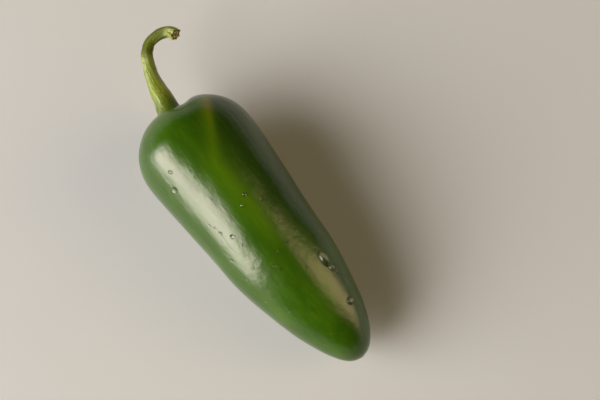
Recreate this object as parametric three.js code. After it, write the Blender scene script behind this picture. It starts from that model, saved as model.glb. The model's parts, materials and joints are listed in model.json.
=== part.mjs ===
// A fresh green chilli pepper lying on its side: a blunt pod that tapers a little towards its
// tip, and the hooked stem it was picked by, whose small calyx sits in a dimple of the shoulder.
//
// Millimetres, +Z up. The pod's long axis runs along X, with the stem at -X and the tip at +X.
// The origin is on the surface that the pepper lies on, under the middle of its bounding box.
// The shape functions measure x from where the shoulder would end if it had no dimple.

import * as THREE from 'three';
import { mergeVertices } from 'three/addons/utils/BufferGeometryUtils.js';

// Pod
const POD_LENGTH = 86.5;
const POD_RADIUS = 16.9;          // at the widest ring
const WIDEST_AT = 17.0;
const SHOULDER_SIDE_POWER = 2.2;  // how squarely the shoulder turns into the side
const SHOULDER_TOP_POWER = 1.65;  // 2 is a round shoulder, 1 is a cone
const TAPER_DROP = 2.5;           // the radius lost between the widest ring and the tip's start
const TAPER_EASE = 8.0;           // the length over which the taper sets in
const TIP_STARTS_AT = 50.0;
const TIP_POWER = 2.25;           // 2 is an elliptical tip, more is a blunter one
const DIMPLE_DEPTH = 3.0;
const DIMPLE_SPREAD = 5.0;
const DIMPLE_OFFSET = 1.2;        // how far the dimple lies off the pod's axis, towards +Y
const SHOULDER_LEAN = 0.1;        // the shoulder is this much lower, per length, towards +Y
const LEAN_SPREAD = 9.0;          // the radius over which both fade
const LEAN_FADES_FROM = 3.0;      // and how far down the shoulder they begin to fade
const BEDDING = 0.2;              // how far the underside is pressed flat by the pod's own weight

// The pod grew from three cells, which show as shallow lobes, deepest at the shoulder.
const LOBES = 3;
const LOBE_TURN = THREE.MathUtils.degToRad(20);
const SHOULDER_LOBE_DEPTH = 0.5;
const SHOULDER_LOBE_AT = 7;
const SHOULDER_LOBE_SPREAD = 9;
const BODY_LOBE_DEPTH = 0.2;

// Calyx
const SEAT_GAP = 0.3;             // between the calyx and the pod
const CALYX_RADIUS = 4.9;
const CALYX_RIM = 0.6;            // its thickness at the rim
const CALYX_SLOPE = 0.2;          // how far its top draws in from the rim and dips to the stem
const CALYX_TEETH = 5;
const TOOTH_LENGTH = 0.45;
const TEETH_START = 4.0;          // the radius where the teeth begin to part

// Stem
const RIDGES = 5;
const RIDGE_DEPTH = 0.06;         // as a share of the stem's radius
const RIDGE_TWIST = 0.05;         // radians for each millimetre of stem
const CUT_SLANT = 0.6;            // how far the cut runs along the stem, per length across it
const CUT_REACH = 3.0;            // the length of stem that leans into the slanted cut
const BEND_STARTS = -0.6;         // up to here the stem follows the pod's axis
const BEND_ENDS = 3.0;            // and from here on it follows its own line

// The middle line of the stem, from the end of the pod's axis to the cut end.
const STEM_LINE = [
  [0.0, 1.7, 17.0],
  [-6.0, 2.5, 17.3],
  [-12.6, 4.6, 18.0],
  [-16.4, 7.6, 19.3],
  [-16.9, 11.0, 20.5],
  [-15.2, 14.1, 21.8],
  [-12.6, 15.4, 23.0],
].map((point) => new THREE.Vector3(...point));

// The stem's thickness, as [distance from the start of its middle line, radius].
const STEM_RADII = [
  [-0.6, 3.5],
  [1.0, 3.2],
  [5.0, 2.6],
  [9.0, 2.0],
  [12.5, 1.8],
  [16.0, 1.55],
  [20.5, 1.4],
  [27.0, 1.6],
];

// Mesh resolution
const POD_SIDES = 56;
const SHOULDER_STEPS = 18;
const BODY_STEPS = 28;
const STEM_SIDES = 30;
const UNDERSIDE_STEPS = 6;
const STEM_STEP = 0.9;

const UP = new THREE.Vector3(0, 0, 1);
const { clamp, mapLinear, smoothstep } = THREE.MathUtils;

// How far back the skin lies at a radius, from the middle of the dimple out over the shoulder.
function shoulderDrop(radius) {
  const share = Math.min(1, radius / POD_RADIUS) ** SHOULDER_TOP_POWER;
  const dome = WIDEST_AT * (1 - (1 - share) ** (1 / SHOULDER_SIDE_POWER));
  return dome + DIMPLE_DEPTH * Math.exp(-((radius / DIMPLE_SPREAD) ** 2));
}

// The pod's radius with neither shoulder nor tip: a taper that sets in past the widest ring.
function taperRadius(x) {
  const past = Math.max(0, x - WIDEST_AT);
  const whole = TIP_STARTS_AT - WIDEST_AT;
  const drop = TAPER_DROP * (whole + TAPER_EASE) / whole ** 2;
  return POD_RADIUS - drop * past ** 2 / (past + TAPER_EASE);
}

function bodyRadius(x) {
  const share = clamp((x - TIP_STARTS_AT) / (POD_LENGTH - TIP_STARTS_AT), 0, 1);
  return taperRadius(x) * (1 - share ** TIP_POWER) ** (1 / TIP_POWER);
}

// How far the skin stands out at a full radius. The angle is 0 at +Y and 90 degrees on top.
function lobe(x, angle) {
  const shoulder = Math.exp(-(((x - SHOULDER_LOBE_AT) / SHOULDER_LOBE_SPREAD) ** 2));
  const body = Math.sin(Math.PI * clamp(x / POD_LENGTH, 0, 1));
  const depth = SHOULDER_LOBE_DEPTH * shoulder + BODY_LOBE_DEPTH * body;
  return depth * Math.cos(LOBES * (angle - LOBE_TURN));
}

// The axis falls as the pod tapers, so that the underside lies level.
function axisHeight(x) {
  return taperRadius(x) + lobe(x, -Math.PI / 2) - BEDDING;
}

// Moves a point of the shoulder or the calyx sideways with the dimple and tilts it.
function leanShoulder(point, radius) {
  const inward = Math.exp(-((radius / LEAN_SPREAD) ** 2));
  const share = inward * (1 - smoothstep(point.x, LEAN_FADES_FROM, WIDEST_AT));
  return new THREE.Vector3(
    point.x + SHOULDER_LEAN * point.y * share,
    point.y + DIMPLE_OFFSET * share,
    point.z,
  );
}

// Half of the pod's long section, from the bottom of the dimple to the tip, as (radius, x).
function podSection() {
  const points = [];
  for (let i = 0; i < SHOULDER_STEPS; i += 1) {
    const radius = POD_RADIUS * Math.sin(Math.PI / 2 * i / SHOULDER_STEPS);
    points.push(new THREE.Vector2(radius, shoulderDrop(radius)));
  }
  for (let i = 0; i <= BODY_STEPS; i += 1) {
    const x = WIDEST_AT + (POD_LENGTH - WIDEST_AT) * Math.sin(Math.PI / 2 * i / BODY_STEPS);
    points.push(new THREE.Vector2(bodyRadius(x), x));
  }
  return points;
}

// The stem's radius from its flare to its cut end.
function stemRadius(distance) {
  const next = STEM_RADII.findIndex((station) => station[0] > distance);
  if (next < 0) return STEM_RADII[STEM_RADII.length - 1][1];
  const [fromDistance, fromRadius] = STEM_RADII[next - 1];
  const [toDistance, toRadius] = STEM_RADII[next];
  return mapLinear(distance, fromDistance, toDistance, fromRadius, toRadius);
}

// Half of the section of calyx and stem, from the middle of the calyx's underside to the
// middle of the cut end, as (radius, distance out along the stem).
function stemSection(stemLength) {
  const points = [];
  for (let i = 0; i <= UNDERSIDE_STEPS; i += 1) {
    const radius = CALYX_RADIUS * i / UNDERSIDE_STEPS;
    points.push(new THREE.Vector2(radius, SEAT_GAP - shoulderDrop(radius)));
  }
  const [flareStart, flareRadius] = STEM_RADII[0];
  const rimTop = SEAT_GAP + CALYX_RIM - shoulderDrop(CALYX_RADIUS);
  points.push(new THREE.Vector2(CALYX_RADIUS - CALYX_SLOPE, rimTop));
  const halfway = new THREE.Vector2((CALYX_RADIUS + flareRadius) / 2, (rimTop + flareStart) / 2);
  points.push(halfway.setY(halfway.y - CALYX_SLOPE));
  const steps = Math.ceil((stemLength - flareStart) / STEM_STEP);
  for (let i = 0; i <= steps; i += 1) {
    const distance = flareStart + (stemLength - flareStart) * i / steps;
    points.push(new THREE.Vector2(stemRadius(distance), distance));
  }
  points.push(new THREE.Vector2(0, stemLength));
  return points;
}

// A closed mesh with one vertex at each place, from a lathe whose seam and poles are doubled.
function closed(lathe) {
  lathe.deleteAttribute('normal');
  lathe.deleteAttribute('uv');
  return mergeVertices(lathe, 1e-4);
}

// Moves each vertex of a lathe on the Y axis to where place puts its height, radius and angle.
function reshape(lathe, place) {
  const position = lathe.attributes.position;
  for (let i = 0; i < position.count; i += 1) {
    const radius = Math.hypot(position.getX(i), position.getZ(i));
    const angle = Math.atan2(position.getX(i), position.getZ(i));
    const point = place(position.getY(i), radius, angle);
    position.setXYZ(i, point.x, point.y, point.z);
  }
}

function namedMesh(name, geometry, color, roughness) {
  const material = new THREE.MeshStandardMaterial({ color, roughness, metalness: 0 });
  const mesh = new THREE.Mesh(geometry, material);
  mesh.name = name;
  return mesh;
}

function buildPod() {
  const lathe = new THREE.LatheGeometry(podSection(), POD_SIDES);
  reshape(lathe, (x, radius, angle) => {
    const grown = radius * (1 + lobe(x, angle) / POD_RADIUS);
    const height = Math.max(0, axisHeight(x) + grown * Math.sin(angle));
    return leanShoulder(new THREE.Vector3(x, grown * Math.cos(angle), height), radius);
  });
  return namedMesh('pod', closed(lathe), 0x3c5a06, 0.22);
}

function buildStem() {
  const line = new THREE.CatmullRomCurve3(STEM_LINE, false, 'centripetal');
  const stemLength = line.getLength();
  const lathe = new THREE.LatheGeometry(stemSection(stemLength), STEM_SIDES);
  reshape(lathe, (distance, radius, angle) => {
    const ridge = RIDGE_DEPTH * Math.cos(RIDGES * (angle + RIDGE_TWIST * distance));
    const ridged = radius * (1 + ridge * smoothstep(distance, BEND_STARTS, BEND_ENDS));
    const rimShare = smoothstep(radius, TEETH_START, CALYX_RADIUS);
    const grown = ridged + rimShare * TOOTH_LENGTH * Math.cos(CALYX_TEETH * angle);
    // A tooth follows the shoulder down as it reaches out over it.
    const lowered = distance - rimShare * (shoulderDrop(grown) - shoulderDrop(radius));
    const side = grown * Math.cos(angle);
    const top = grown * Math.sin(angle);
    const upright = new THREE.Vector3(-lowered, -side, axisHeight(-lowered) + top);
    const straight = leanShoulder(upright, radius);

    const share = clamp(distance / stemLength, 0, 1);
    const tangent = line.getTangentAt(share);
    const across = new THREE.Vector3().crossVectors(UP, tangent).normalize();
    const above = new THREE.Vector3().crossVectors(tangent, across);
    const slant = CUT_SLANT * side * smoothstep(distance, stemLength - CUT_REACH, stemLength);
    const bent = line.getPointAt(share).addScaledVector(tangent, slant);
    bent.addScaledVector(across, side).addScaledVector(above, top);
    return straight.lerp(bent, smoothstep(distance, BEND_STARTS, BEND_ENDS));
  });
  return namedMesh('stem_and_calyx', closed(lathe), 0x7a8420, 0.55);
}

const pepper = new THREE.Group();
pepper.add(buildPod(), buildStem());
const middle = new THREE.Box3().setFromObject(pepper).getCenter(new THREE.Vector3());
pepper.position.set(-middle.x, -middle.y, 0);

export default pepper;
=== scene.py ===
"""A fresh green chilli pepper: a waxy pod, the hooked stem that it was picked by, and the drops
of water left on it from rinsing. It lies on its side on a pale floor.

Lengths are metres, with +Z up and the pod's long axis along X: the stem is at -X, the tip at +X.
"""

import json
import math

import bpy
from mathutils import Matrix, Vector

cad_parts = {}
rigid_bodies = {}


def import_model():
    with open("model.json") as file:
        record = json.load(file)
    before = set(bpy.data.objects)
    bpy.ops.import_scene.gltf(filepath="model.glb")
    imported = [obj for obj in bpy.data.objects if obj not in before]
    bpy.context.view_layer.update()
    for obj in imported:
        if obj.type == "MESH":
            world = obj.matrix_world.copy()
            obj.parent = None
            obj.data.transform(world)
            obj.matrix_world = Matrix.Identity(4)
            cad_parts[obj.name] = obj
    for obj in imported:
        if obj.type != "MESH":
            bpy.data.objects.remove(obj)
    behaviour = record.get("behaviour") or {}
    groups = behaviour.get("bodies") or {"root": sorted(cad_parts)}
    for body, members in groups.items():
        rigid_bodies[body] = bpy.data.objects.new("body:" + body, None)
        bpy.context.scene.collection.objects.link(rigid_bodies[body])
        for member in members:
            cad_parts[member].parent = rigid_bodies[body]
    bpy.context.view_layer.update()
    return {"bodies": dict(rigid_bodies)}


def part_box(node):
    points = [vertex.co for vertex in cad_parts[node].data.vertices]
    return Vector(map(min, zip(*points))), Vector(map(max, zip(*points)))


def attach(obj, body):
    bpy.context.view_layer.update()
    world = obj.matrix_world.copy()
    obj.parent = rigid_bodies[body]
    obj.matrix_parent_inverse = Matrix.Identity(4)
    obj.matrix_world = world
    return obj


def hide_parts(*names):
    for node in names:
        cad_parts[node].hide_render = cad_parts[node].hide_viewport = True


bl_info = {
    "name": "Chilli Pepper",
    "version": (1, 0, 0),
    "blender": (4, 5, 0),
    "location": "3D View > Sidebar > Chilli",
    "description": "Builds a fresh green chilli pepper with its stem and a few drops of water",
    "category": "Object",
}

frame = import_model()
POD_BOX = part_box("pod")
(BODY,) = frame["bodies"]

MM = 0.001
FULL_TURN = 2 * math.pi
UP = (0.0, 0.0, 1.0)

# Pod. The shape functions measure x from where the shoulder would end if it had no dimple.
POD_LENGTH = 86.5 * MM
POD_RADIUS = 16.9 * MM
WIDEST_AT = 17.0 * MM
SHOULDER_SIDE_POWER = 2.2
SHOULDER_TOP_POWER = 1.65
TAPER_DROP = 2.5 * MM
TAPER_EASE = 8.0 * MM
TIP_STARTS_AT = 50.0 * MM
TIP_POWER = 2.25
DIMPLE_DEPTH = 3.0 * MM
DIMPLE_SPREAD = 5.6 * MM
DIMPLE_OFFSET = 1.2 * MM
SHOULDER_LEAN = 0.1
LEAN_SPREAD = 9.0 * MM
LEAN_FADES_FROM = 3.0 * MM
SADDLE_DEPTH = 3.0 * MM
SADDLE_AT = 3.9 * MM
SADDLE_SPREAD = 3.0 * MM
BEDDING = 0.2 * MM
LOBES = 3
LOBE_TURN = math.radians(20)
SHOULDER_LOBE_DEPTH = 0.5 * MM
SHOULDER_LOBE_AT = 7.0 * MM
SHOULDER_LOBE_SPREAD = 9.0 * MM
BODY_LOBE_DEPTH = 0.2 * MM
SHAPE_MIDDLE = 0.13 * MM

# Where the pod bends a little to one side, as (distance from the shoulder, length, shift to +Y),
# in millimetres.
SWAYS = [(23.0, 10.0, 0.33), (50.0, 10.0, -0.36), (78.0, 8.0, 0.3)]

# Fuller and flatter places on the pod's sides, as (distance from the shoulder, way round from +Y,
# length, width, height): lengths in millimetres, and ways round and widths in degrees.
UNEVEN_PLACES = [
    (17.5, 122, 8.0, 17, 0.3),
    (32.0, 130, 8.0, 26, -0.35),
    (52.0, 155, 8.0, 26, 0.27),
    (53.0, 28, 8.0, 26, 0.35),
]

# Calyx and stem
SEAT_GAP = 0.3 * MM
CALYX_RADIUS = 4.9 * MM
TEETH = 5
TEETH_START = 4.0 * MM
RIDGES = 5
RIDGE_TWIST = 0.05 / MM
FOLDS = 7
NODE_AT = 17.2 * MM
NODE_SLANT = 1.7 * MM
NODE_TURN = 0.6
CUT_SLANT = 0.18
CUT_REACH = 3.0 * MM
BEND_STARTS = -0.6 * MM
BEND_ENDS = 3.0 * MM
GRAIN_LENGTH = 2.5 * MM
TOOTH_SHARPNESS = 2.5
TEETH_FADE = (-1.5 * MM, -0.8 * MM)

# The swelling at the node and the crease past it, as (middle, spread) from the node's slanted line.
NODE_SWELL = (-0.5 * MM, 0.9 * MM)
NODE_CREASE = (0.9 * MM, 0.6 * MM)

# The middle line of the stem, in millimetres, from the end of the pod's axis to the cut end.
STEM_LINE = [
    (0.0, 1.7, 17.0),
    (-6.0, 2.5, 17.3),
    (-12.6, 4.6, 18.0),
    (-16.4, 7.6, 19.3),
    (-16.9, 11.0, 20.5),
    (-15.4, 14.2, 21.8),
    (-13.2, 15.3, 22.8),
]

# Half of the calyx's top side, in millimetres, as (radius, height over the shoulder).
CALYX_TOP = [(4.98, 0.12), (4.85, 0.3), (4.4, 0.45), (4.0, 0.75)]

# The stem's thickness, in millimetres, as (radius, distance from the start of its line).
STEM_SIDE = [
    (3.3, -0.6),
    (3.0, 1.0),
    (2.6, 5.0),
    (2.0, 9.0),
    (1.8, 12.5),
    (1.6, 16.0),
    (1.5, 20.5),
    (1.6, 24.0),
]

# The cut end, in millimetres, as (radius, distance past the end of the line): the skin's edge,
# the soft ring that has dried and shrunk back, and the woody core round the pith.
CUT_END = [
    (1.6, -0.6),
    (1.64, -0.05),
    (1.5, 0.05),
    (1.32, -0.15),
    (1.15, -0.5),
    (0.95, -0.45),
    (0.82, 0.1),
    (0.6, 0.12),
    (0.35, -0.3),
    (0.0, -0.4),
]

# How much the hook past the node shines. The rest of the stem has 0.5.
HOOK_GLOSS = 0.14

# Water drops, as (x, y, width, length, turn): places in plan and sizes in millimetres, and the
# way that the long side points in plan, in degrees from +X.
DROPS = [
    (26.7, 7.0, 2.4, 4.8, 0),
    (29.7, 7.3, 1.5, 2.0, 8),
    (31.3, 7.6, 0.9, 1.1, 0),
    (39.2, 5.8, 2.2, 2.4, -20),
    (-11.3, -12.1, 1.8, 1.9, 0),
    (-15.1, -10.2, 1.1, 1.4, 30),
    (7.8, -8.1, 1.3, 1.5, 10),
    (5.1, -9.9, 1.0, 1.2, 0),
    (20.5, -4.3, 0.9, 1.3, 60),
    (12.0, -11.9, 0.9, 1.1, 0),
    (18.3, -11.9, 0.8, 1.0, 20),
    (11.3, -7.2, 0.7, 1.0, 10),
    (1.6, -10.8, 0.6, 0.9, 20),
    (2.9, -10.3, 0.7, 0.9, 10),
    (-12.7, -12.0, 0.6, 0.7, 0),
    (-9.9, -6.1, 0.7, 0.8, 0),
    (1.7, 0.9, 0.8, 1.5, 5),
    (3.4, -1.2, 1.0, 1.0, 0),
    (5.1, 3.8, 0.8, 1.0, 0),
    (17.6, 1.9, 0.8, 1.0, 30),
    (22.1, -3.6, 0.6, 1.1, 60),
    (18.2, -1.5, 0.4, 1.7, -50),
    (25.8, 2.2, 0.5, 0.8, 0),
    (25.8, -11.6, 0.6, 0.8, 0),
    (31.3, -8.5, 0.6, 0.8, 0),
    (46.6, -1.6, 0.6, 0.8, 0),
    (35.6, -9.3, 0.5, 0.6, 0),
    (32.4, 9.0, 0.5, 0.6, 0),
    (43.0, -5.9, 0.4, 0.5, 0),
    (35.0, -3.5, 0.4, 0.6, 30),
    (40.3, -2.6, 0.4, 0.5, 0),
    (-2.8, -6.2, 0.5, 0.6, 0),
]

# How far a drop's ball sinks into the skin, as a share of its height, and how fine the ball is.
DROP_SUNK = 0.2
DROP_FACES = {"Segments": 24, "Rings": 14}
DROPS_FALL_FROM = 0.1

# Camera and lamps, as directions from the pepper: azimuth from +X and height, in degrees.
CAMERA_BEARING = -39.0
CAMERA_HEIGHT = 78.4
CAMERA_DISTANCE = 0.274
CAMERA_AIM_HEIGHT = 14.0 * MM
CAMERA_ASIDE = 16.08 * MM
CAMERA_ABOVE = 1.42 * MM
CAMERA_LENS = 60.0
CAMERA_SENSOR = 36.0
LAMP_DISTANCE = 1.3

# The floor is a round sheet, in metres, that fades into the backdrop between two distances.
FLOOR_RADIUS = 0.7
FLOOR_CORNERS = 96
FLOOR_BELOW = 0.02 * MM
FLOOR_FADES = (0.3, 0.65)

# Lamp panels: how far the panel reaches each way from the middle of its bearing, and how wide the
# fading edges are, in metres; the roll turns it about its bearing, in degrees.
WINDOW = {
    "bearing": (-90.9, 20.3),
    "roll": 4.3,
    "across": (-1.62, 0.44),
    "up": (-0.76, 1.3),
    "side_fades": (0.91, 0.29),
    "end_fades": (0.91, 0.92),
    "colour": (1.0, 0.97, 0.93),
}
WARM_LAMP = {
    "bearing": (46.2, 25.0),
    "roll": 6.8,
    "across": (-0.45, 0.72),
    "up": (-0.74, 1.27),
    "side_fades": (0.65, 0.42),
    "end_fades": (0.63, 1.04),
    "colour": (1.0, 0.8, 0.42),
}


def linear(red, green, blue):
    """A colour as Blender holds it, from the 0 to 255 steps that a screen shows."""
    steps = [channel / 255 for channel in (red, green, blue)]
    return tuple(s / 12.92 if s <= 0.04045 else ((s + 0.055) / 1.055) ** 2.4 for s in steps)


# Node trees


def find(sockets, key):
    """A socket by its place, or by its name among those that the node uses."""
    if isinstance(key, int):
        return sockets[key]
    return next(s for s in sockets if s.name == key and s.enabled)


class Value:
    """An output socket that arithmetic can use: each operator adds the node that works it out."""

    def __init__(self, graph, socket):
        self.graph = graph
        self.socket = socket

    def __getitem__(self, name):
        return Value(self.graph, find(self.socket.node.outputs, name))

    def __add__(self, other):
        return self.graph.maths("ADD", self, other)

    __radd__ = __add__

    def __sub__(self, other):
        return self.graph.maths("SUBTRACT", self, other)

    def __rsub__(self, other):
        return self.graph.maths("SUBTRACT", other, self)

    def __mul__(self, other):
        return self.graph.maths("MULTIPLY", self, other)

    __rmul__ = __mul__

    def __truediv__(self, other):
        return self.graph.maths("DIVIDE", self, other)

    def __rtruediv__(self, other):
        return self.graph.maths("DIVIDE", other, self)

    def __pow__(self, power):
        return self.graph.maths("POWER", self, power)

    def __rpow__(self, base):
        return self.graph.maths("POWER", base, self)

    def __neg__(self):
        return self * -1.0

    def sin(self):
        return self.graph.maths("SINE", self)

    def cos(self):
        return self.graph.maths("COSINE", self)

    def at_least(self, low):
        return self.graph.maths("MAXIMUM", self, low)

    def at_most(self, high):
        return self.graph.maths("MINIMUM", self, high)

    def clamped(self):
        return self.at_least(0.0).at_most(1.0)

    def rise(self, low, high):
        """0 below low and 1 above high, with a smooth step between them."""
        settings = {"interpolation_type": "SMOOTHSTEP"}
        inputs = {"Value": self, "From Min": low, "From Max": high}
        return self.graph.node("ShaderNodeMapRange", settings, inputs)

    def hump(self, centre, spread):
        """1 at the centre, falling off on both sides like a bell."""
        off = (self - centre) / spread
        return math.e ** -(off * off)


class Graph:
    """A node tree that is written as expressions."""

    def __init__(self, tree):
        self.tree = tree

    def plug(self, value, socket):
        if isinstance(value, Value):
            self.tree.links.new(value.socket, socket)
        elif socket.type == "VECTOR" and isinstance(value, (int, float)):
            socket.default_value = (value,) * 3
        elif socket.type == "RGBA" and len(value) == 3:
            socket.default_value = (*value, 1.0)
        else:
            socket.default_value = value

    def node(self, kind, settings=None, inputs=None, output=0):
        made = self.tree.nodes.new(kind)
        for name, value in (settings or {}).items():
            setattr(made, name, value)
        for key, value in (inputs or {}).items():
            self.plug(value, find(made.inputs, key))
        return Value(self, find(made.outputs, output)) if made.outputs else None

    def maths(self, operation, *values):
        vectors = [v for v in values if isinstance(v, Value) and v.socket.type == "VECTOR"]
        kind = "ShaderNodeVectorMath" if vectors else "ShaderNodeMath"
        return self.node(kind, {"operation": operation}, dict(enumerate(values)))

    def split(self, vector):
        parts = self.node("ShaderNodeSeparateXYZ", inputs={"Vector": vector})
        return parts["X"], parts["Y"], parts["Z"]

    def join(self, x, y, z):
        return self.node("ShaderNodeCombineXYZ", inputs={"X": x, "Y": y, "Z": z})

    def blend(self, share, first, second):
        """The first vector where the share is 0 and the second where it is 1."""
        inputs = {"Factor": share, "A": first, "B": second}
        return self.node("ShaderNodeMix", {"data_type": "VECTOR"}, inputs, "Result")

    def tint(self, share, first, second):
        """The first colour where the share is 0 and the second where it is 1."""
        inputs = {"Factor": share, "A": first, "B": second}
        return self.node("ShaderNodeMix", {"data_type": "RGBA"}, inputs, "Result")

    def noise(self, place, size, detail=2.0, roughness=0.5):
        """Smooth noise from 0 to 1 whose lumps are about this size."""
        inputs = {"Vector": place, "Scale": 1.0 / size, "Detail": detail, "Roughness": roughness}
        return self.node("ShaderNodeTexNoise", inputs=inputs)


SOCKETS = {
    float: "NodeSocketFloat",
    int: "NodeSocketInt",
    bpy.types.Material: "NodeSocketMaterial",
    bpy.types.Object: "NodeSocketObject",
}


def geometry_graph(name, sizes):
    """A geometry tree with a named input for each size: the graph, what it starts from and its inputs."""
    tree = bpy.data.node_groups.new(name, "GeometryNodeTree")
    tree.interface.new_socket("Geometry", in_out="OUTPUT", socket_type="NodeSocketGeometry")
    tree.interface.new_socket("Geometry", in_out="INPUT", socket_type="NodeSocketGeometry")
    for label, value in sizes.items():
        kind = SOCKETS[type(value)]
        socket = tree.interface.new_socket(label, in_out="INPUT", socket_type=kind)
        if isinstance(value, (int, float)):
            socket.default_value = value
    graph = Graph(tree)
    entry = graph.node("NodeGroupInput")
    return graph, entry["Geometry"], {label: entry[label] for label in sizes}


def finish_tree(graph, geometry, material):
    """Ends a geometry tree with real, smooth faces of one material."""
    real = graph.node("GeometryNodeRealizeInstances", inputs={"Geometry": geometry})
    smooth = graph.node("GeometryNodeSetShadeSmooth", inputs={"Geometry": real})
    painted = graph.node("GeometryNodeSetMaterial", inputs={"Geometry": smooth, "Material": material})
    graph.node("NodeGroupOutput", inputs={"Geometry": painted})


def shaped(name, tree, sizes, start=None):
    """An object whose plain mesh is what a geometry tree makes of a start mesh and these sizes."""
    start = start or bpy.data.meshes.new(name)
    piece = bpy.data.objects.new(name, start)
    bpy.context.scene.collection.objects.link(piece)
    modifier = piece.modifiers.new(name, "NODES")
    modifier.node_group = tree
    for socket in tree.interface.items_tree:
        if socket.in_out == "INPUT" and socket.name in sizes:
            modifier[socket.identifier] = sizes[socket.name]
    depsgraph = bpy.context.evaluated_depsgraph_get()
    mesh = bpy.data.meshes.new_from_object(piece.evaluated_get(depsgraph), depsgraph=depsgraph)
    piece.modifiers.clear()
    piece.data = mesh
    bpy.data.meshes.remove(start)
    material = next(m for m in mesh.materials if m)
    mesh.materials.clear()
    mesh.materials.append(material)
    mesh.polygons.foreach_set("material_index", [0] * len(mesh.polygons))
    return piece


def guide_curve(name, points, corners=()):
    """A smooth curve through points, with a sharp corner at each of the named places."""
    data = bpy.data.curves.new(name, "CURVE")
    data.dimensions = "3D"
    data.resolution_u = 16
    spline = data.splines.new("BEZIER")
    spline.bezier_points.add(len(points) - 1)
    for place, (knot, point) in enumerate(zip(spline.bezier_points, points)):
        knot.co = point
        knot.handle_left_type = knot.handle_right_type = "VECTOR" if place in corners else "AUTO"
    guide = bpy.data.objects.new(name, data)
    bpy.context.scene.collection.objects.link(guide)
    bpy.context.view_layer.update()
    return guide


def placed(piece):
    """Moves a shape's mesh from the pod's own axes to where the CAD pod lies."""
    shift = Vector((POD_BOX[1].x - POD_LENGTH, (POD_BOX[0].y + POD_BOX[1].y) / 2 - SHAPE_MIDDLE, 0))
    piece.data.transform(Matrix.Translation(shift))
    return piece


# The pod's shape. These take numbers or a tree's values.


def shoulder_drop(radius, dimple_depth=DIMPLE_DEPTH):
    """How far back the skin lies at a radius, from the bottom of the dimple outwards."""
    share = (radius / POD_RADIUS) ** SHOULDER_TOP_POWER
    dome = WIDEST_AT * (1 - (1 - share) ** (1 / SHOULDER_SIDE_POWER))
    return dome + dimple_depth * math.e ** -((radius / DIMPLE_SPREAD) ** 2)


def taper_radius(x):
    past = (x - WIDEST_AT).at_least(0.0)
    whole = TIP_STARTS_AT - WIDEST_AT
    drop = TAPER_DROP * (whole + TAPER_EASE) / whole**2
    return POD_RADIUS - drop * past * past / (past + TAPER_EASE)


def lobe(x, wave):
    """How far the skin stands out. The wave is 1 along the middle of a lobe and -1 between two."""
    shoulder = x.hump(SHOULDER_LOBE_AT, SHOULDER_LOBE_SPREAD)
    body = ((x / POD_LENGTH).clamped() * math.pi).sin()
    return (SHOULDER_LOBE_DEPTH * shoulder + BODY_LOBE_DEPTH * body) * wave


def axis_height(x):
    """The axis falls as the pod tapers, so that the underside lies level."""
    below = math.cos(LOBES * (-math.pi / 2 - LOBE_TURN))
    return taper_radius(x) + lobe(x, below) - BEDDING


def lean_shoulder(x, y, radius):
    """Moves a point sideways with the dimple, tilts it and lets the hollow run out by the stem."""
    share = radius.hump(0.0, LEAN_SPREAD) * (1 - x.rise(LEAN_FADES_FROM, WIDEST_AT))
    saddle = y.hump(SADDLE_AT, SADDLE_SPREAD) * SADDLE_DEPTH
    return x + (SHOULDER_LEAN * y + saddle) * share, y + DIMPLE_OFFSET * share


def grid_of(graph, steps, sides):
    """A square grid, with how far each vertex is along it and around it, both from 0 to 1."""
    size = {"Size X": 1.0, "Size Y": 1.0, "Vertices X": steps + 1, "Vertices Y": sides + 1}
    grid = graph.node("GeometryNodeMeshGrid", inputs=size)
    across, up, _ = graph.split(graph.node("GeometryNodeInputPosition"))
    return grid, across + 0.5, up + 0.5


def rolled_up(graph, grid, place, along, around):
    """The grid with its vertices in place, its seam and ends welded, and a UV map of the two ways."""
    settings = {"data_type": "FLOAT2", "domain": "CORNER"}
    inputs = {"Geometry": grid, "Name": "UVMap", "Value": graph.join(along, around, 0.0)}
    mapped = graph.node("GeometryNodeStoreNamedAttribute", settings, inputs)
    moved = graph.node("GeometryNodeSetPosition", inputs={"Geometry": mapped, "Position": place})
    weld = {"Geometry": moved, "Distance": 0.001 * MM}
    return graph.node("GeometryNodeMergeByDistance", inputs=weld)


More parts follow.
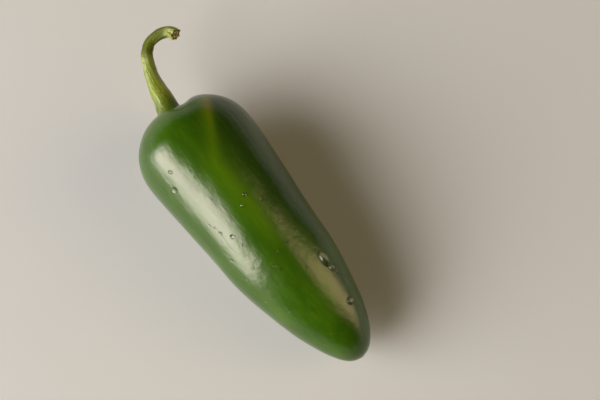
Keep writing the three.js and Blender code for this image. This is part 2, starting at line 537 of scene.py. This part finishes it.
def pod_tree(sizes):
    graph, _, size = geometry_graph("pod_shape", sizes)
    grid, along, around = grid_of(graph, size["Steps"], size["Sides"])
    angle = around * -FULL_TURN

    # The shoulder takes the first rows, and the sides and the tip take the rest.
    shoulder_rows = size["Shoulder Share"]
    out = ((along / shoulder_rows).clamped() * (math.pi / 2)).sin()
    onward = (((along - shoulder_rows) / (1 - shoulder_rows)).clamped() * (math.pi / 2)).sin()
    body_x = WIDEST_AT + (POD_LENGTH - WIDEST_AT) * onward
    tip = ((body_x - TIP_STARTS_AT) / (POD_LENGTH - TIP_STARTS_AT)).clamped()
    body_radius = taper_radius(body_x) * (1 - tip**TIP_POWER) ** (1 / TIP_POWER)
    x = shoulder_drop(out * POD_RADIUS, size["Dimple Depth"]) + body_x - WIDEST_AT
    radius = body_radius * out

    wave = ((angle - LOBE_TURN) * LOBES).cos()
    even = radius * (1 + lobe(x, wave) / POD_RADIUS)
    spot = graph.join(x, even * angle.cos(), even * angle.sin())
    swell = (graph.noise(spot, size["Swell Width"]) - 0.5) * size["Swell"]
    long_spot = graph.join(x * 0.6, even * angle.cos(), even * angle.sin())
    ripple = (graph.noise(long_spot, size["Ripple Width"], 3.0) - 0.5) * size["Ripple"]
    for x_at, way, length, width, height in UNEVEN_PLACES:
        off = 1 - (angle - math.radians(way)).cos()
        facing = math.e ** (off * (-2 / math.radians(width) ** 2))
        swell = swell + x.hump(x_at * MM, length * MM) * facing * (height * MM)
    grown = even + (swell + ripple) * (radius / POD_RADIUS).rise(0.0, 0.5)
    scar = radius.hump(0.0, size["Scar Width"]) * onward.rise(0.9, 1.0) * size["Scar Height"]
    height = (axis_height(x) + grown * angle.sin()).at_least(0.0)
    leant_x, leant_y = lean_shoulder(x, grown * angle.cos(), radius)
    for x_at, length, shift in SWAYS:
        leant_y = leant_y + x.hump(x_at * MM, length * MM) * (shift * MM)
    place = graph.join(leant_x + scar, leant_y, height)
    finish_tree(graph, rolled_up(graph, grid, place, along, around), size["Skin"])
    return graph.tree


def stem_section(stem_length):
    """Half of the section of calyx and stem as (radius, distance out along the stem)."""
    underside = [CALYX_RADIUS * share for share in (0, 0.25, 0.5, 0.75, 0.9, 1)]
    points = [(r, SEAT_GAP * (1 - (r / CALYX_RADIUS) ** 4) - shoulder_drop(r)) for r in underside]
    for r, over in CALYX_TOP:
        points.append((r * MM, over * MM - shoulder_drop(r * MM)))
    points += [(r * MM, distance * MM) for r, distance in STEM_SIDE]
    points += [(r * MM, stem_length + past * MM) for r, past in CUT_END]
    return [(r, distance, 0.0) for r, distance in points]


def stem_tree(sizes):
    graph, _, size = geometry_graph("stem_shape", sizes)
    grid, along, around = grid_of(graph, size["Steps"], size["Sides"])
    angle = around * FULL_TURN
    full_length = size["Stem Length"]

    def sampled(guide, factor):
        curve = graph.node("GeometryNodeObjectInfo", inputs={"Object": guide}, output="Geometry")
        settings = {"mode": "FACTOR"}
        inputs = {"Curves": curve, "Factor": factor}
        return graph.node("GeometryNodeSampleCurve", settings, inputs, "Position")

    radius, distance, _ = graph.split(sampled(size["Section"], along))
    on_stem = distance.rise(BEND_STARTS, BEND_ENDS)
    near_cut = distance.rise(full_length - 1.0 * MM, full_length) * radius.rise(0.0, 0.6 * MM)
    twisted = angle + RIDGE_TWIST * distance
    ridge = (twisted * RIDGES).cos() * size["Ridge Depth"]
    fine_rib = (twisted * (RIDGES * 4)).cos() * size["Fine Rib Depth"]
    rib = fine_rib + (twisted * (RIDGES * 2)).cos() * size["Rib Depth"]
    round_place = graph.join(angle.cos(), angle.sin(), distance / GRAIN_LENGTH)
    grain = (graph.noise(round_place, 0.35, 3.0) - 0.5) * size["Grain Depth"]
    shrunk = distance.rise(full_length - size["Fold Reach"], full_length)
    fold = (angle * FOLDS + graph.noise(round_place, 0.8) * 5.0).cos() * size["Fold Depth"] * shrunk
    ridged = radius * (1 + (ridge + rib + grain + fold) * on_stem)
    past_node = distance + (angle + NODE_TURN).cos() * NODE_SLANT - NODE_AT
    knuckle = past_node.hump(*NODE_SWELL) - past_node.hump(*NODE_CREASE) * 0.5
    rim_share = radius.rise(TEETH_START, CALYX_RADIUS) * (1 - distance.rise(*TEETH_FADE))
    point = (((angle * TEETH).cos() * 0.5 + 0.5) ** TOOTH_SHARPNESS) * 2 - 0.6
    tooth = rim_share * point * size["Tooth Length"]
    grown = ridged + knuckle * size["Knuckle Height"] + tooth
    lowered = distance - rim_share * (shoulder_drop(grown) - shoulder_drop(radius))
    side = grown * angle.cos()
    top = grown * angle.sin()

    base_x = -lowered
    straight_x, straight_y = lean_shoulder(base_x, -side, grown)
    straight = graph.join(straight_x, straight_y, axis_height(base_x) + top)

    share = (distance / full_length).clamped()
    middle = sampled(size["Line"], share)
    tangent = middle["Tangent"]
    cross = {"operation": "CROSS_PRODUCT"}
    sideways = graph.node("ShaderNodeVectorMath", cross, {0: UP, 1: tangent})
    across = graph.node("ShaderNodeVectorMath", {"operation": "NORMALIZE"}, {0: sideways})
    above = graph.node("ShaderNodeVectorMath", cross, {0: tangent, 1: across})
    slant = CUT_SLANT * side * distance.rise(full_length - CUT_REACH, full_length)
    ragged = (graph.noise(round_place, 0.18, 2.0) - 0.5) * near_cut * size["Ragged Cut"]
    past = (distance - full_length).at_least(0.0) + slant + ragged
    bent = middle + tangent * past + across * side + above * top
    place = graph.blend(on_stem, straight, bent)

    rolled = rolled_up(graph, grid, place, distance / full_length, around)
    outward = graph.node("GeometryNodeFlipFaces", inputs={"Mesh": rolled})
    finish_tree(graph, outward, size["Skin"])
    return graph.tree


def drops_tree(sizes):
    """Sets a drop on the skin under each point, lying along it."""
    graph, points, size = geometry_graph("water_drop_shape", sizes)

    def attribute(name):
        settings = {"data_type": "FLOAT"}
        return graph.node("GeometryNodeInputNamedAttribute", settings, {"Name": name}, "Attribute")

    skin = graph.node("GeometryNodeObjectInfo", inputs={"Object": size["Pod"]}, output="Geometry")
    above = graph.node("GeometryNodeInputPosition") + graph.join(0.0, 0.0, DROPS_FALL_FROM)
    aim = {"Target Geometry": skin, "Source Position": above, "Ray Direction": (0.0, 0.0, -1.0)}
    hit = graph.node("GeometryNodeRaycast", inputs={**aim, "Ray Length": 1.0}, output="Hit Position")
    landed = graph.node("GeometryNodeSetPosition", inputs={"Geometry": points, "Position": hit})
    turn = attribute("turn")
    axes = {"Primary Axis": hit["Hit Normal"], "Secondary Axis": graph.join(turn.cos(), turn.sin(), 0.0)}
    lying = graph.node("FunctionNodeAxesToRotation", {"primary_axis": "Z", "secondary_axis": "X"}, axes)

    ball = graph.node("GeometryNodeMeshUVSphere", inputs={**DROP_FACES, "Radius": 1.0})
    sunk = {"Geometry": ball, "Offset": (0.0, 0.0, -DROP_SUNK)}
    dome = graph.node("GeometryNodeSetPosition", inputs=sunk)
    width, length = attribute("width") / 2, attribute("length") / 2
    scale = graph.join(length, width, (width * length) ** 0.5 * size["Height Share"])
    spread = {"Points": landed, "Instance": dome, "Rotation": lying, "Scale": scale}
    drops = graph.node("GeometryNodeInstanceOnPoints", inputs=spread)
    finish_tree(graph, drops, size["Water"])
    return graph.tree


# Materials


def material_graph(name):
    material = bpy.data.materials.new(name)
    material.use_nodes = True
    material.node_tree.nodes.clear()
    return material, Graph(material.node_tree)


def principled(graph, inputs):
    return graph.node("ShaderNodeBsdfPrincipled", inputs=inputs)


def surface(graph, shader, other=None, share=0.0):
    """Ends a material with a shader, which gives way to the other one as the share goes to 1."""
    if other:
        shader = graph.node("ShaderNodeMixShader", inputs={0: share, 1: shader, 2: other})
    graph.node("ShaderNodeOutputMaterial", inputs={"Surface": shader})


def bumps(graph, height, depth):
    inputs = {"Height": height, "Distance": depth, "Strength": 1.0}
    return graph.node("ShaderNodeBump", inputs=inputs)


def waxy_skin(look):
    """Deep green skin, mottled, with paler seams between the lobes and a blush by the shoulder; a band
    over the top is partly painted light, and one side of the shoulder has painted shade.
    """
    material, graph = material_graph("waxy_green_skin")
    place = graph.node("ShaderNodeTexCoord", output="Object") * (1 / MM)
    # From here on, places and the sizes of noise are in millimetres.
    x, y, z = graph.split(place)
    long_place = graph.join(x * 0.3, y, z)
    cloud = graph.noise(long_place, 9.0, 3.0)
    fleck = graph.noise(long_place, 2.2, 4.0)
    streak = graph.noise(graph.join(x * 0.04, y, z), 0.9, 3.0)

    green = graph.tint(cloud.rise(0.35, 0.7), look.deep_green, look.mid_green)
    angle = graph.maths("ARCTAN2", z - 16.0, y)
    between = (-((angle - LOBE_TURN) * LOBES).cos()).rise(0.4, 1.0)
    seam = between * (1 - z.rise(21.0, 27.0)) * (1 - x.rise(0.0, 45.0)) * (0.5 + 0.5 * fleck)
    green = graph.tint(seam * 0.9, green, look.seam_and_lit_band_green)
    # Painted shade: the +Y side of the shoulder, away from the window lamp, is darkened in the colour.
    shade = y.rise(0.0, 9.0) * (1 - x.rise(2.0, 20.0)) * z.rise(10.0, 18.0)
    green = graph.tint(shade * 0.7, green, look.painted_shade_green)
    on_top = z.rise(20.0, 27.0)
    # A paler band along the top of the shoulder: partly the skin's own paler colour, partly painted light
    # where the crest faces the lamps.
    paler_and_lit_band = (y + (x + 9.0).at_most(0.0) * 0.5).hump(0.4, 2.2) * (1 - x.rise(5.0, 25.0))
    green = graph.tint(paler_and_lit_band * on_top * 0.65, green, look.seam_and_lit_band_green)
    off_vein = y + (x + 21.5) * 0.5
    vein = off_vein.hump(7.4, 1.1) * x.hump(-22.5, 6.0) * on_top
    green = graph.tint(vein * (0.4 + 0.5 * fleck), green, look.vein_green)
    blush = x.hump(-23.8, 2.2) * off_vein.hump(7.3, 1.3) * on_top
    green = graph.tint(blush * (0.25 + 0.5 * fleck), green, look.blush)
    green = graph.tint(streak.rise(0.5, 0.8) * 0.25, green, look.seam_and_lit_band_green)
    green = graph.tint(x.rise(52.3, 52.6), green, look.scar)

    freckle = graph.noise(place, 0.8, 2.0).rise(0.66, 0.78)
    green = graph.tint(freckle * 0.5, green, look.seam_and_lit_band_green)

    wobble = graph.noise(place, 3.0) - 0.5
    dried = (y + 10.1 + wobble).hump(0.0, 0.16) * x.rise(1.5, 3.0) * (1 - x.rise(11.0, 13.0))
    green = graph.tint(dried * z.rise(14.0, 20.0) * 0.4, green, look.deep_green)

    dimpling = graph.noise(long_place, 2.4, 2.0) + graph.noise(place, 1.3, 2.0) * 0.5
    pores = graph.noise(place, 0.35, 2.0) + graph.noise(place, 0.16, 1.0) * 0.4
    skin = {
        "Base Color": green,
        "Roughness": 0.15 + cloud * 0.1,
        "IOR": 1.58,
        "Specular Tint": (1.0, 0.9, 0.85),
        "Normal": bumps(graph, dimpling + pores * 0.13 - dried * 0.25, 0.08 * MM),
    }
    surface(graph, principled(graph, skin))
    return material


def stem_skin(look, stem_length):
    """Yellow-green ridged skin with nicks and wrinkles, and the dry, folded skin by the cut; painted
    shade darkens it by the pod and in the crease past the node.
    """
    material, graph = material_graph("ridged_stem_skin")
    out, around, _ = graph.split(graph.node("ShaderNodeUVMap", {"uv_map": "UVMap"}))
    place = graph.node("ShaderNodeTexCoord", output="Object") * (1 / MM)
    turn = around * FULL_TURN
    distance = out * stem_length
    round_place = graph.join(turn.cos(), turn.sin(), distance / (7.0 * MM))
    streak = graph.noise(round_place, 0.16, 4.0)
    patch = graph.noise(place, 2.5, 3.0)
    wrinkle = graph.noise(graph.join(turn.cos() * 0.7, turn.sin() * 0.7, distance / (0.5 * MM)), 1.0, 3.0)
    nick = graph.noise(graph.join(turn.cos(), turn.sin(), distance / (2.0 * MM)), 0.3, 2.0)

    ridge = ((turn + RIDGE_TWIST * distance) * RIDGES).cos() * 0.5 + 0.5
    green = graph.tint(ridge * 0.35 + streak * 0.65, look.groove_green, look.ridge_green)
    green = graph.tint(patch.rise(0.35, 0.7) * 0.6, green, look.bend_green)
    # Darker by the pod: partly the skin's darker olive, partly painted shade where the pod crowds the
    # stem.
    seat = 1 - distance.rise(0.0, 5.0 * MM)
    green = graph.tint(seat * 0.7, green, look.seat_green_and_shade)
    rim = 1 - distance.rise(-1.95 * MM, -1.65 * MM)
    green = graph.tint(rim * 0.6, green, look.dry_skin)
    green = graph.tint(nick.rise(0.6, 0.72) * 0.45, green, look.speck_and_crease_shade)
    # Painted shade along the crease past the node, in the colour of the dry specks.
    past_node = distance + (turn + NODE_TURN).cos() * NODE_SLANT - NODE_AT
    green = graph.tint(past_node.hump(0.9 * MM, 0.35 * MM) * 0.5, green, look.speck_and_crease_shade)
    hook = distance.rise(NODE_AT - 3.5 * MM, NODE_AT - 0.5 * MM)
    hook = hook * (1 - distance.rise(stem_length - 4.5 * MM, stem_length - 1.5 * MM))
    green = graph.tint(hook * (0.6 + 0.4 * patch), green, look.hook_green)
    fold = distance.rise(stem_length - 4.0 * MM, stem_length - 0.4 * MM) * streak.rise(0.42, 0.6)
    green = graph.tint(fold * 0.35, green, look.dry_skin)
    face = distance.rise(stem_length - 0.15 * MM, stem_length + 0.1 * MM)
    pith = graph.noise(place, 0.28, 3.0)
    green = graph.tint(face, green, graph.tint(pith.rise(0.32, 0.52), look.speck_and_crease_shade, look.cut_end))

    wrinkling = 1.2 - distance.rise(9.0 * MM, 15.0 * MM) * 0.6
    relief = streak * 0.7 + wrinkle * wrinkling - nick.rise(0.55, 0.7) * 0.6
    skin = {
        "Base Color": green,
        "Roughness": 0.22 + streak * 0.15 + face * 0.3,
        "Specular Tint": (1.0, 1.0, 0.85),
        "Normal": bumps(graph, relief, 0.12 * MM),
    }
    duller = {**skin, "Specular IOR Level": HOOK_GLOSS}
    surface(graph, principled(graph, skin), principled(graph, duller), hook)
    return material


def clear_water():
    material, graph = material_graph("clear_water")
    ripple = graph.noise(graph.node("ShaderNodeTexCoord", output="Object"), 1.5 * MM)
    water = {
        "Base Color": (1.0, 1.0, 1.0),
        "Roughness": 0.03,
        "IOR": 1.333,
        "Transmission Weight": 1.0,
        "Normal": bumps(graph, ripple, 0.02 * MM),
    }
    surface(graph, principled(graph, water))
    return material


def pale_floor(colour):
    """A matt floor that fades into the backdrop with its distance from the pepper."""
    material, graph = material_graph("pale_floor")
    place = graph.node("ShaderNodeTexCoord", output="Object")
    away = graph.node("ShaderNodeVectorMath", {"operation": "LENGTH"}, {0: place}, "Value")
    tone = graph.noise(place, 0.05, 3.0) * 0.04 + 0.98
    matt = {"Base Color": graph.tint(tone, (0.0, 0.0, 0.0), colour), "Roughness": 0.7}
    clear = graph.node("ShaderNodeBsdfTransparent")
    surface(graph, principled(graph, matt), clear, away.rise(*FLOOR_FADES))
    return material


# What a user can change


def length_property(name, description, default):
    return bpy.props.FloatProperty(
        name=name, description=description, default=default, min=0.0, precision=5, unit="LENGTH"
    )


def colour_property(name, description, default):
    return bpy.props.FloatVectorProperty(
        name=name, description=description, default=default, min=0.0, max=1.0, subtype="COLOR"
    )


class ChilliPodSettings(bpy.types.PropertyGroup):
    dimple_depth: length_property("Dimple", "Depth of the hollow that the stem sits in", DIMPLE_DEPTH)
    swell: length_property("Swell", "Height of the skin's slow waves", 0.4 * MM)
    ripple: length_property("Ripple", "Height of the skin's small waves", 0.26 * MM)
    deep_green: colour_property("Deep green", "The darker of the skin's greens", linear(38, 68, 1))
    mid_green: colour_property("Mid green", "The lighter of the skin's greens", linear(51, 82, 2))
    # Painted shade for the +Y side of the shoulder, away from the window lamp.
    painted_shade_green: colour_property("Shade green", "Skin along one side of the seam", linear(30, 54, 1))
    # Also the colour of the band along the top of the shoulder, which is partly painted light.
    seam_and_lit_band_green: colour_property("Seam green", "Skin between two lobes", linear(73, 103, 3))
    vein_green: colour_property("Vein green", "The yellowed line over the shoulder", linear(96, 116, 4))
    blush: colour_property("Blush", "The ripening patch on the shoulder", linear(118, 74, 8))
    scar: colour_property("Scar", "The dry point that the flower left at the tip", linear(120, 96, 50))


class ChilliStemSettings(bpy.types.PropertyGroup):
    ridge_depth: bpy.props.FloatProperty(
        name="Ridges", description="Depth of a ridge as a share of the radius", default=0.028
    )
    tooth_length: length_property("Teeth", "How far the calyx's teeth reach", 0.6 * MM)
    ridge_green: colour_property("Ridge green", "The crest of a ridge", linear(138, 147, 60))
    groove_green: colour_property("Groove green", "Between two ridges", linear(84, 94, 10))
    hook_green: colour_property("Hook green", "The darker skin past the node", linear(62, 68, 3))
    bend_green: colour_property("Bend green", "Greener patches", linear(98, 112, 14))
    # Partly the darker olive skin by the pod and partly painted shade where the stem meets it.
    seat_green_and_shade: colour_property("Seat green", "The dark skin by the pod", linear(62, 78, 8))
    # Also the painted shade along the crease past the node.
    speck_and_crease_shade: colour_property("Speck", "Small dry marks and the crack at the node", linear(74, 60, 14))
    dry_skin: colour_property("Dry skin", "The folded skin by the cut", linear(176, 168, 108))
    cut_end: colour_property("Cut end", "The dry face where it was picked", linear(186, 166, 106))


class ChilliDropSettings(bpy.types.PropertyGroup):
    height_share: bpy.props.FloatProperty(
        name="Height", description="A drop's height as a share of half its width", default=0.95
    )


class ChilliStageSettings(bpy.types.PropertyGroup):
    floor: colour_property("Floor", "The floor and the backdrop", (0.46, 0.45, 0.44))
    window: bpy.props.FloatProperty(
        name="Window", description="Brightness of the large lamp's face", default=11.0, min=0.0
    )
    lamp: bpy.props.FloatProperty(
        name="Warm lamp", description="Brightness of the small lamp's face", default=3.5, min=0.0
    )


# Operators


class CHILLI_OT_pod(bpy.types.Operator):
    """Builds the pod over the CAD pod"""

    bl_idname = "chilli.pod"
    bl_label = "Pod"

    def execute(self, context):
        look = context.scene.chilli_pod
        sizes = {
            "Steps": 260,
            "Sides": 240,
            "Shoulder Share": 0.36,
            "Dimple Depth": look.dimple_depth,
            "Swell": look.swell,
            "Swell Width": 18.0 * MM,
            "Ripple": look.ripple,
            "Ripple Width": 6.0 * MM,
            "Scar Width": 0.7 * MM,
            "Scar Height": 0.15 * MM,
            "Skin": waxy_skin(look),
        }
        pod = placed(shaped("chilli_pod", pod_tree(sizes), sizes))
        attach(pod, BODY)
        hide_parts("pod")
        return {"FINISHED"}


class CHILLI_OT_stem(bpy.types.Operator):
    """Builds the stem and its calyx over the CAD stem"""

    bl_idname = "chilli.stem"
    bl_label = "Stem and calyx"

    def execute(self, context):
        look = context.scene.chilli_stem
        line = guide_curve("stem_line", [Vector(point) * MM for point in STEM_LINE])
        stem_length = line.data.splines[0].calc_length()
        points = stem_section(stem_length)
        section = guide_curve("stem_section", points, corners=(0, len(points) - 1))
        sizes = {
            "Steps": 360,
            "Sides": 120,
            "Stem Length": stem_length,
            "Ridge Depth": look.ridge_depth,
            "Rib Depth": 0.012,
            "Fine Rib Depth": 0.008,
            "Grain Depth": 0.05,
            "Fold Depth": 0.12,
            "Fold Reach": 3.5 * MM,
            "Tooth Length": look.tooth_length,
            "Knuckle Height": 0.12 * MM,
            "Ragged Cut": 0.8 * MM,
            "Line": line,
            "Section": section,
            "Skin": stem_skin(look, stem_length),
        }
        stem = placed(shaped("chilli_stem", stem_tree(sizes), sizes))
        for guide in (line, section):
            bpy.data.objects.remove(guide)
        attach(stem, BODY)
        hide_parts("stem_and_calyx")
        return {"FINISHED"}


class CHILLI_OT_water_drops(bpy.types.Operator):
    """Sets the water drops on the pod"""

    bl_idname = "chilli.water_drops"
    bl_label = "Water drops"

    def execute(self, context):
        pod = bpy.data.objects.get("chilli_pod")
        if pod is None:
            raise RuntimeError("the pod is built before its water drops")
        sizes = {
            "Pod": pod,
            "Height Share": context.scene.chilli_drops.height_share,
            "Water": clear_water(),
        }
        points = bpy.data.meshes.new("drop_places")
        points.from_pydata([(x * MM, y * MM, 0.0) for x, y, *_ in DROPS], [], [])
        columns = {
            "width": [drop[2] * MM for drop in DROPS],
            "length": [drop[3] * MM for drop in DROPS],
            "turn": [math.radians(drop[4]) for drop in DROPS],
        }
        for name, column in columns.items():
            points.attributes.new(name, "FLOAT", "POINT").data.foreach_set("value", column)
        drops = shaped("water_drops", drops_tree(sizes), sizes, points)
        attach(drops, BODY)
        return {"FINISHED"}


def aimed(thing, place, target, roll=0.0):
    """Puts a camera or a lamp at a place, looking at a target and turned about its own sight line."""
    thing.location = place
    turn = (Vector(target) - place).to_track_quat("-Z", "Y").to_matrix().to_4x4()
    thing.rotation_euler = (turn @ Matrix.Rotation(roll, 4, "Z")).to_euler()
    bpy.context.scene.collection.objects.link(thing)


def bearing(azimuth, height):
    """The direction of a bearing from +X and a height above the floor, both in degrees."""
    turn, rise = math.radians(azimuth), math.radians(height)
    level = math.cos(rise)
    return Vector((math.cos(turn) * level, math.sin(turn) * level, math.sin(rise)))


def soft_panel(name, panel, brightness):
    """A flat lamp facing the pepper, as bright in its middle as is said, with edges that fade."""
    data = bpy.data.lights.new(name, "AREA")
    data.shape = "RECTANGLE"
    back = bearing(*panel["bearing"])
    low_x, high_x = panel["across"]
    low_y, high_y = panel["up"]
    data.size, data.size_y = high_x - low_x, high_y - low_y
    data.energy = brightness * math.pi * data.size * data.size_y
    data.color = panel["colour"]
    data.use_nodes = True
    data.node_tree.nodes.clear()
    graph = Graph(data.node_tree)
    across, up, _ = graph.split(graph.node("ShaderNodeNewGeometry", output="Parametric"))
    share = 1.0
    for way, length, fades in (
        (across, data.size, panel["side_fades"]),
        (up, data.size_y, panel["end_fades"]),
    ):
        first, last = fades
        share = way.rise(0.0, first / length) * (1 - way.rise(1 - last / length, 1.0)) * share
    glow = graph.node("ShaderNodeEmission", inputs={"Strength": share})
    graph.node("ShaderNodeOutputLight", inputs={"Surface": glow})
    lamp = bpy.data.objects.new(name, data)
    lamp.visible_camera = False
    roll = Matrix.Rotation(math.radians(panel["roll"]), 4, "Z")
    facing = back.to_track_quat("Z", "Y").to_matrix().to_4x4() @ roll
    middle = Vector(((low_x + high_x) / 2, (low_y + high_y) / 2, LAMP_DISTANCE))
    lamp.matrix_world = Matrix.Translation(facing @ middle) @ facing
    bpy.context.scene.collection.objects.link(lamp)
    return lamp


def backdrop_world(colour):
    """Pale near the floor's horizon and dark overhead."""
    world = bpy.data.worlds.new("studio")
    world.use_nodes = True
    world.node_tree.nodes.clear()
    graph = Graph(world.node_tree)
    _, _, height = graph.split(graph.node("ShaderNodeTexCoord", output="Generated"))
    overhead = (0.02, 0.02, 0.02)
    tone = graph.tint(height.rise(0.0, 0.3), colour, overhead)
    light = graph.node("ShaderNodeBackground", inputs={"Color": tone, "Strength": 1.0})
    graph.node("ShaderNodeOutputWorld", inputs={"Surface": light})
    bpy.context.scene.world = world


class CHILLI_OT_stage(bpy.types.Operator):
    """Makes the floor, the lamps, the backdrop and the camera"""

    bl_idname = "chilli.stage"
    bl_label = "Stage"

    def execute(self, context):
        look = context.scene.chilli_stage
        data = bpy.data.cameras.new("camera")
        data.lens = CAMERA_LENS
        data.sensor_width = CAMERA_SENSOR
        camera = bpy.data.objects.new("camera", data)
        back = bearing(CAMERA_BEARING, CAMERA_HEIGHT)
        right = Vector(UP).cross(back).normalized()
        above = back.cross(right)
        target = Vector((0.0, 0.0, CAMERA_AIM_HEIGHT)) + right * CAMERA_ASIDE + above * CAMERA_ABOVE
        aimed(camera, target + back * CAMERA_DISTANCE, target)
        context.scene.camera = camera

        floor_mesh = bpy.data.meshes.new("floor")
        ways = [FULL_TURN * step / FLOOR_CORNERS for step in range(FLOOR_CORNERS)]
        ring = [(FLOOR_RADIUS * math.cos(w), FLOOR_RADIUS * math.sin(w), -FLOOR_BELOW) for w in ways]
        floor_mesh.from_pydata(ring, [], [list(range(FLOOR_CORNERS))])
        floor_mesh.materials.append(pale_floor(tuple(look.floor)))
        floor = bpy.data.objects.new("floor", floor_mesh)
        context.scene.collection.objects.link(floor)

        soft_panel("window", WINDOW, look.window)
        soft_panel("warm_lamp", WARM_LAMP, look.lamp)
        backdrop_world(tuple(look.floor))
        context.scene.view_settings.view_transform = "Standard"
        return {"FINISHED"}


class CHILLI_PT_sidebar(bpy.types.Panel):
    """The pepper's settings and the buttons that build it"""

    bl_label = "Chilli Pepper"
    bl_space_type = "VIEW_3D"
    bl_region_type = "UI"
    bl_category = "Chilli"

    def draw(self, context):
        for operator, group in STEPS:
            box = self.layout.box()
            settings = getattr(context.scene, group)
            for name in settings.__annotations__:
                box.prop(settings, name)
            box.operator(operator.bl_idname)


STEPS = [
    (CHILLI_OT_stage, "chilli_stage"),
    (CHILLI_OT_pod, "chilli_pod"),
    (CHILLI_OT_stem, "chilli_stem"),
    (CHILLI_OT_water_drops, "chilli_drops"),
]
GROUPS = {
    "chilli_stage": ChilliStageSettings,
    "chilli_pod": ChilliPodSettings,
    "chilli_stem": ChilliStemSettings,
    "chilli_drops": ChilliDropSettings,
}
CLASSES = [*GROUPS.values(), *(operator for operator, _ in STEPS), CHILLI_PT_sidebar]


def register():
    for cls in CLASSES:
        bpy.utils.register_class(cls)
    for name, group in GROUPS.items():
        setattr(bpy.types.Scene, name, bpy.props.PointerProperty(type=group))


def unregister():
    for name in GROUPS:
        delattr(bpy.types.Scene, name)
    for cls in reversed(CLASSES):
        bpy.utils.unregister_class(cls)


def main():
    register()
    bpy.ops.chilli.stage()
    bpy.ops.chilli.pod()
    bpy.ops.chilli.stem()
    bpy.ops.chilli.water_drops()


if __name__ == "__main__":
    main()
